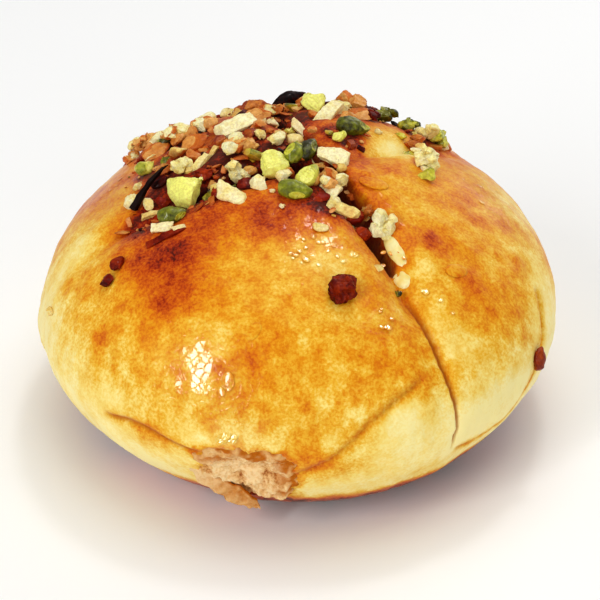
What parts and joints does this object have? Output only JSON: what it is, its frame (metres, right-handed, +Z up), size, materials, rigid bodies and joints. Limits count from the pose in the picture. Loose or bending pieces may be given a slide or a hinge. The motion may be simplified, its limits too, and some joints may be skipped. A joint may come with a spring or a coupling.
{
  "type": "cream cheese garlic bun",
  "caption": "Round glazed bread bun with a cross cut in its domed top, cream cheese in the cuts, chopped pistachio and almond over them, and a torn patch at its foot.",
  "frame": {"origin": "middle of the flat base, on the surface that the bun stands on", "axes": "+Z up through the dome, -Y towards the side with the torn patch, +X to the right of it"},
  "size_m": [0.1058, 0.1051, 0.0596],
  "materials": {
    "crust": "egg-washed bread crust, glossy, from pale yellow at the foot to deep orange brown on top",
    "crumb": "torn bread crumb, matt and open",
    "cream_cheese": "soft cream cheese, satin",
    "almond": "chopped blanched almond, satin",
    "almond_skin": "brown almond skin, satin, with pale cut faces",
    "pistachio": "chopped pistachio, satin, lime green with darker rims",
    "toasted_bits": "dark toasted bits, glossy with glaze"
  },
  "bodies": {
    "root": {"bun": "crust", "cream_cheese_filling": "cream_cheese"}
  },
  "joints": []
}
